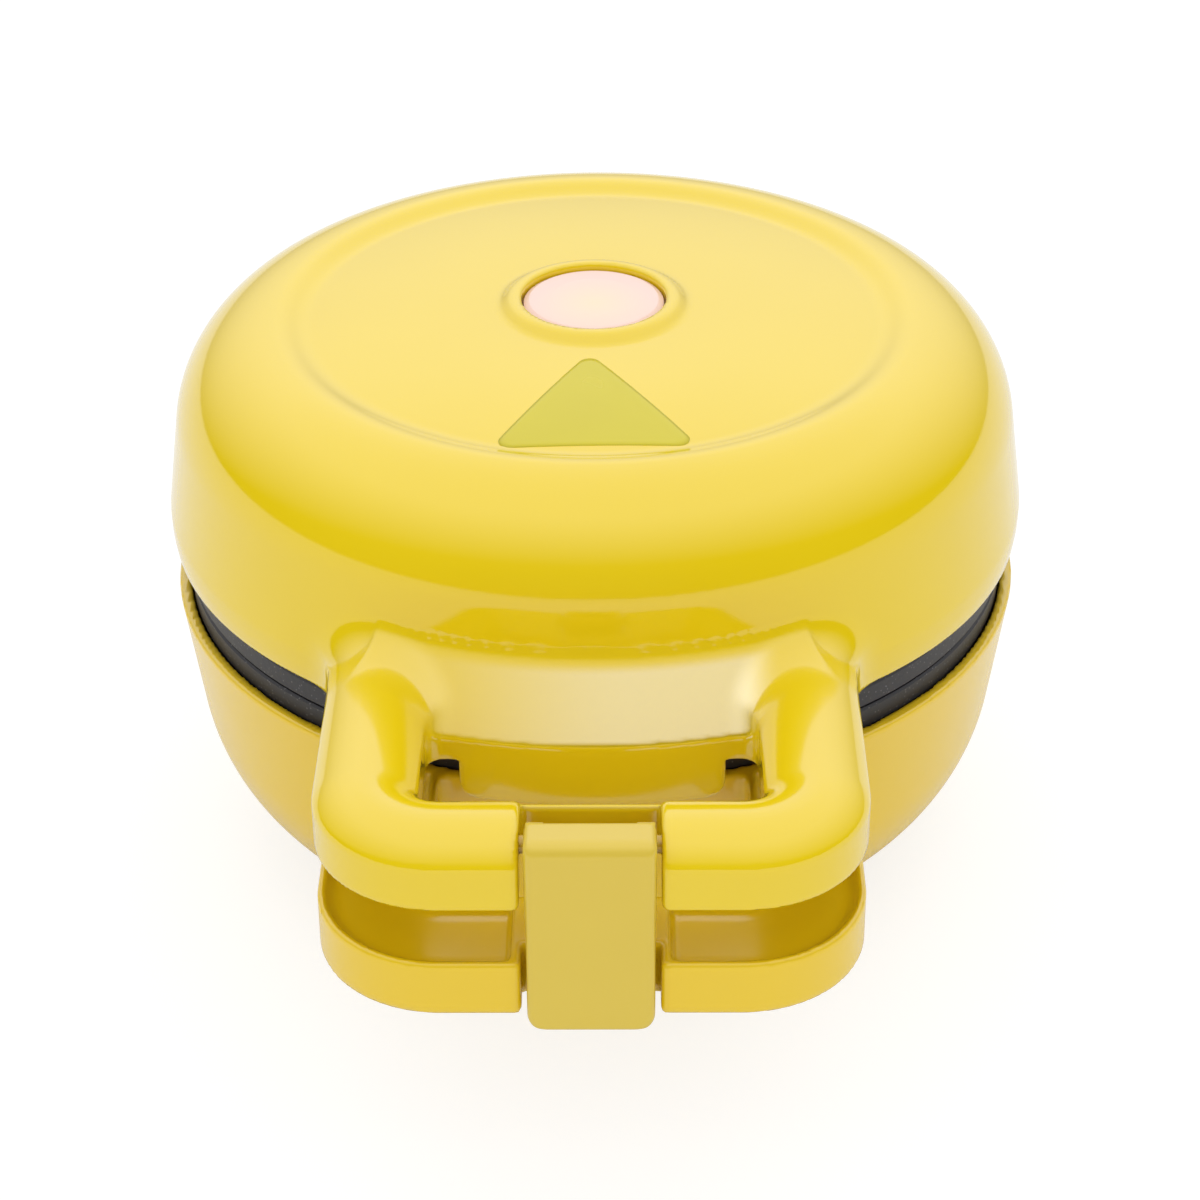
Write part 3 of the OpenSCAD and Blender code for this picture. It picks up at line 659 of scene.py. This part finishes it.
def climb(tree, source, start, end):
    """A number that goes from 0 to 1 while the source goes from start to end, in mm."""
    ramp = add_step(tree, "MapRange", {"Value": source, "From Min": start * MM,
                                       "From Max": end * MM}, interpolation_type="SMOOTHSTEP")
    return ramp.outputs["Result"]


def paint_apron_highlight(material):
    """Painted highlight on the sloping apron, brightest on its right, made by a harder coat."""
    tree = material.node_tree
    place = add_step(tree, "TexCoord").outputs["Object"]
    parts = add_step(tree, "SeparateXYZ", {0: place})
    x, y, z = (parts.outputs[name] for name in "XYZ")
    level = add_step(tree, "CombineXYZ", {"X": x, "Y": y})
    reach = add_step(tree, "VectorMath", {0: level.outputs[0], 1: (0, axis_y * MM, 0)},
                     operation="DISTANCE").outputs["Value"]
    edge = rim_z + apron_z

    # Each row: what is measured, where the painted highlight begins, and where it is full
    share = climb(tree, y, -20, -30)
    for source, start, end in ((z, edge - 1.0, edge), (z, edge + 9, edge + 7.6),
                               (reach, 64.8, 66.2), (reach, 75, 74), (x, 26, 20), (x, -34, 6)):
        times = add_step(tree, "Math", {0: share, 1: climb(tree, source, start, end)},
                         operation="MULTIPLY")
        share = times.outputs["Value"]
    for name, usual, extra in (("Coat Weight", coat_weight, 0.5), ("Coat IOR", coat_ior, 2.0)):
        sum_up = add_step(tree, "Math", {0: share, 1: extra, 2: usual},
                          operation="MULTIPLY_ADD")
        fill_in(tree, tree.nodes["Principled BSDF"], {name: sum_up.outputs["Value"]})


# A painted highlight on the apron, put in its coat
paint_apron_highlight(lid_yellow)
dress(lid_moulding, lid_yellow)

# ---------------------------------------------------------------- latch
# A flat moulded clip that hangs on a pin in the upper handle and snaps its hook under
# the bead in the lower one. Its finish is a little duller than the body's.
clip_w = 16.6
clip_face = -105.5
clip_top = 19.4
clip_low = -10.5
clip_t = 2.2
clip_round = 2.0
clip_corner = 2.9
head_depth = 5.8
head_flat = 5.4
hook_tip = clip_t + 2.3
hook_top = clip_low + 2.2
clip_ear_r = 2.8
clip_ear_half = 1.2
clip_ear_top = clip_top - 1
clip_ear_foot = pivot_z - 8
clip_hole = 1.25
fine_step = 0.1
clip_side = profile(
    [(0.7, clip_low), (0, clip_low + 0.9)]
    + arc((clip_round, clip_top - clip_round), clip_round, 180, 90, 20)
    + [(head_flat, clip_top), (head_depth, clip_top - 0.4), (head_depth, clip_top - clip_t),
       (3.0, clip_top - clip_t), (clip_t, clip_top - 3.0), (clip_t, hook_top),
       (hook_tip - 0.5, hook_top), (hook_tip, clip_low + 1.6), (hook_tip, clip_low + 0.8),
       (hook_tip - 0.8, clip_low)], step=fine_step)
clip_front = profile(both_sides(
    [(0, clip_low)] + arc((clip_w / 2 - clip_corner, clip_low + clip_corner), clip_corner,
                          -90, 0, 20) + [(clip_w / 2, clip_top + 4)]))
clip_ear = profile(
    arc((pivot_y - clip_face, pivot_z), clip_ear_r, -60, 60, 30)
    + [(pivot_y - clip_face, clip_ear_top), (1, clip_ear_top), (1, clip_ear_foot),
       (clip_t, clip_ear_foot)], step=fine_step)


def clip_form(x, y, z):
    depth = y - clip_face
    plate = keep(clip_side(depth, z), clip_front(x, z), 1.0)
    ear = np.maximum(clip_ear(depth, z),
                     np.abs(np.abs(x) - clip_w / 2 + clip_ear_half) - clip_ear_half)
    solid = join(plate, ear, 0.5)
    return np.maximum(solid, clip_hole - np.hypot(y - pivot_y, z - pivot_z))


clip_moulding = mould("clip_moulding", clip_form, low=(-9.5, -107, -12.0), high=(9.5, -96, 21),
                      step=0.3)
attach(clip_moulding, "latch")
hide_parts("latch_clip")
clip_yellow = uneven_finish("satin_yellow_plastic", 40, 0.26, 0.34, (0.68, 0.495, 0.042),
                            (0.70, 0.515, 0.046),
                            {"IOR": 1.48, "Coat Weight": 0.6, "Coat Roughness": 0.2})
dress(clip_moulding, clip_yellow)

# ---------------------------------------------------------------- indicator
# A milky moulded lens that snaps into the ring in the lid, with a small glass lamp under
# it. It has a faint painted glow, in a tint that is warmest over the lamp and pinker
# towards the edge.
lamp_spot = (0, (axis_y - 2) * MM, (rim_z + 44) * MM)


def milky_lens():
    material, tree, shader = new_finish("milky_lens")
    place = add_step(tree, "TexCoord").outputs["Object"]
    away = add_step(tree, "VectorMath", {0: place, 1: lamp_spot}, operation="DISTANCE")
    centimetres = add_step(tree, "Math", {0: away.outputs["Value"], 1: 100},
                           operation="MULTIPLY")
    warm, pinkish = (0.90, 0.70, 0.50), (0.88, 0.64, 0.57)
    glow = two_tones(tree, centimetres.outputs["Value"], 0.0, warm, 0.9, pinkish)
    # Painted glow: the lens gives off a little light of its own
    fill_in(tree, shader, {"Base Color": glow, "Emission Color": glow,
                           "Emission Strength": 0.03, "Roughness": 0.25})
    return material


def lamp_glass():
    material, tree, shader = new_finish("lamp_glass")
    sheen_marks(tree, shader, 50, 0.05, 0.12)
    fill_in(tree, shader, {"Base Color": (1.0, 0.92, 0.75, 1), "Transmission Weight": 0.7})
    return material


dress(nodes["indicator_lens"], milky_lens())
dress(nodes["lamp"], lamp_glass())

# ---------------------------------------------------------------- label place
# A blank triangular sticker with rounded corners, cut from thin glossy film and stuck on
# the sunken disc between the lens ring and the handle. It follows the disc's dome.
label_apex = (-0.6, -16.6)
label_left = (-14.2, -41.5)
label_right = (14.9, -41.0)
label_corner = 1.6
film = 0.12
film_rings = 14
film_step = 1.5


def disc_height(x, y):
    share = (math.hypot(x, y) - ring_foot_r) / (disc_r - disc_rim - ring_foot_r)
    return crest_z - disc_drop + disc_rise(share)


def label_edge(count=10):
    corners = [Vector(label_apex), Vector(label_left), Vector(label_right)]
    middle = sum(corners, Vector((0, 0))) / 3
    edge = []
    for k in range(3):
        here, before, after = corners[k], corners[k - 1], corners[(k + 1) % 3]
        to_before, to_after = (before - here).normalized(), (after - here).normalized()
        opening = to_before.angle(to_after) / 2
        bisector = (to_before + to_after).normalized()
        centre = here + bisector * (label_corner / math.sin(opening))
        start = here + to_before * (label_corner / math.tan(opening)) - centre
        end = here + to_after * (label_corner / math.tan(opening)) - centre
        a0 = math.atan2(start.y, start.x)
        a1 = math.atan2(end.y, end.x)
        turn = (a1 - a0 + math.pi) % (2 * math.pi) - math.pi
        for step in range(count + 1):
            a = a0 + turn * step / count
            edge.append(centre + label_corner * Vector((math.cos(a), math.sin(a))))
    return edge, middle


def cut_label():
    edge, middle = label_edge()
    dense = []
    for here, after in zip(edge, edge[1:] + edge[:1]):
        parts = max(1, int((after - here).length / film_step))
        dense += [here.lerp(after, k / parts) for k in range(parts)]
    count = len(dense)

    # Rings from the edge to the middle, and last a ring tucked just under the disc
    rings = [([middle.lerp(p, 1 - k / film_rings) for p in dense], film if k > 0 else film * 0.4)
             for k in range(film_rings + 1)]
    rings.append((dense, -0.05))
    points = [(p.x * MM, (p.y + axis_y) * MM, (disc_height(p.x, p.y) + lift + rim_z) * MM)
              for ring, lift in rings for p in ring]
    faces = []
    for k in range(film_rings):
        for i in range(count):
            a, b = k * count + i, k * count + (i + 1) % count
            faces.append((a, b, b + count, a + count))
    base = (film_rings + 1) * count
    faces += [(base + i, base + (i + 1) % count, (i + 1) % count, i) for i in range(count)]
    mesh = bpy.data.meshes.new("blank_label")
    mesh.from_pydata(points, [], faces)
    for face in mesh.polygons:
        face.use_smooth = True
    return put_in_scene("blank_label", mesh)


blank_label = cut_label()
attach(blank_label, "lid")
label_film = uneven_finish("label_film", 60, 0.22, 0.30, (0.60, 0.51, 0.008),
                           (0.62, 0.53, 0.011), {})
dress(blank_label, label_film)

# ---------------------------------------------------------------- studio
# A sheet of pale paper as the floor, a white surround, and two broad soft lamps, one above
# and one in front. What shines mirrors a surround that is bright above and darker below.
floor_half = 6.0
paper_white = (0.86, 0.86, 0.86, 1)
paper_glow = 1.22
paper_share = 0.6
sky_light = 0.98
brightest_way = (0, 0.35, 0.94)
brightest = 2.0
dim_below = 0.15
bright_above = 0.80


def floor_paper():
    """White paper that looks lighter to the camera than the light on it makes it."""
    material, tree, shader = new_finish("floor_paper")
    fill_in(tree, shader, {"Base Color": paper_white, "Roughness": 0.9,
                           "Specular IOR Level": 0.0})
    rays = add_step(tree, "LightPath")
    share = add_step(tree, "Math", {0: rays.outputs["Is Camera Ray"], 1: paper_share},
                     operation="MULTIPLY")
    paper = add_step(tree, "Emission", {"Color": (1, 1, 1, 1), "Strength": paper_glow})
    blend = add_step(tree, "MixShader", {"Fac": share.outputs["Value"],
                                         1: shader.outputs["BSDF"],
                                         2: paper.outputs["Emission"]})
    fill_in(tree, tree.nodes["Material Output"], {"Surface": blend.outputs["Shader"]})
    return material


sheet = bpy.data.meshes.new("floor")
sheet.from_pydata([(-floor_half, -floor_half, 0), (floor_half, -floor_half, 0),
                   (floor_half, floor_half, 0), (-floor_half, floor_half, 0)],
                  [], [(0, 1, 2, 3)])
floor = put_in_scene("floor", sheet)
dress(floor, floor_paper())

world = bpy.data.worlds.new("surround")
bpy.context.scene.world = world
world.use_nodes = True
surround = world.node_tree
sky = surround.nodes["Background"]
fill_in(surround, sky, {"Color": (1, 1, 1, 1), "Strength": sky_light})
heading = add_step(surround, "TexCoord").outputs["Generated"]
height = add_step(surround, "VectorMath", {0: heading, 1: brightest_way},
                  operation="DOT_PRODUCT")
shine = add_step(surround, "MapRange", {"Value": height.outputs["Value"],
                                        "From Min": dim_below, "From Max": bright_above,
                                        "To Max": brightest})
ceiling = add_step(surround, "Background", {"Strength": shine.outputs["Result"]})
rays = add_step(surround, "LightPath")
either = add_step(surround, "MixShader", {"Fac": rays.outputs["Is Glossy Ray"],
                                          1: sky.outputs["Background"],
                                          2: ceiling.outputs["Background"]})
fill_in(surround, surround.nodes["World Output"], {"Surface": either.outputs["Shader"]})
middle = Vector((0, axis_y * MM, rim_z * MM))


def soft_lamp(name, place, size, power):
    """A rectangular lamp that faces the object, and isn't mirrored in it."""
    light = bpy.data.lights.new(name, "AREA")
    light.shape = "RECTANGLE"
    light.size, light.size_y = size
    light.energy = power
    lamp = put_in_scene(name, light)
    lamp.location = place
    lamp.rotation_euler = (middle - Vector(place)).to_track_quat("-Z", "Y").to_euler()
    lamp.visible_glossy = False


soft_lamp("overhead", (0.0, 0.25, 0.75), (0.9, 0.6), 0.8)
soft_lamp("front fill", (0.0, -0.85, 0.35), (0.8, 0.4), 0.5)

# ---------------------------------------------------------------- camera
# Stands in front of the handle, half a metre away, at the height of someone who looks
# down at a worktop, with a long lens. The place is in millimetres, like the sizes.
focal_length = 92.17
sensor_width = 36.0
pitch = math.radians(31.679)
roll = math.radians(-0.3635)
orbit = Matrix.Rotation(math.radians(0.45), 3, "Z")
stand = Vector((0.65, -415.378, 247.053))
camera_place = (orbit @ stand + Vector((0, axis_y, rim_z))) * MM
sideways = orbit @ Vector((1, 0, 0))
forward = orbit @ Vector((0, math.cos(pitch), -math.sin(pitch)))
level_up = orbit @ Vector((0, math.sin(pitch), math.cos(pitch)))
right = math.cos(roll) * sideways + math.sin(roll) * level_up
up = -math.sin(roll) * sideways + math.cos(roll) * level_up
camera_data = bpy.data.cameras.new("camera")
camera_data.sensor_width = sensor_width
camera_data.lens = focal_length
camera_data.clip_start = 0.02
camera = put_in_scene("camera", camera_data)
turn = Matrix((right, up, -forward)).transposed().to_4x4()
camera.matrix_world = Matrix.Translation(camera_place) @ turn
bpy.context.scene.camera = camera
bpy.context.scene.view_settings.view_transform = "Standard"

bpy.context.view_layer.update()
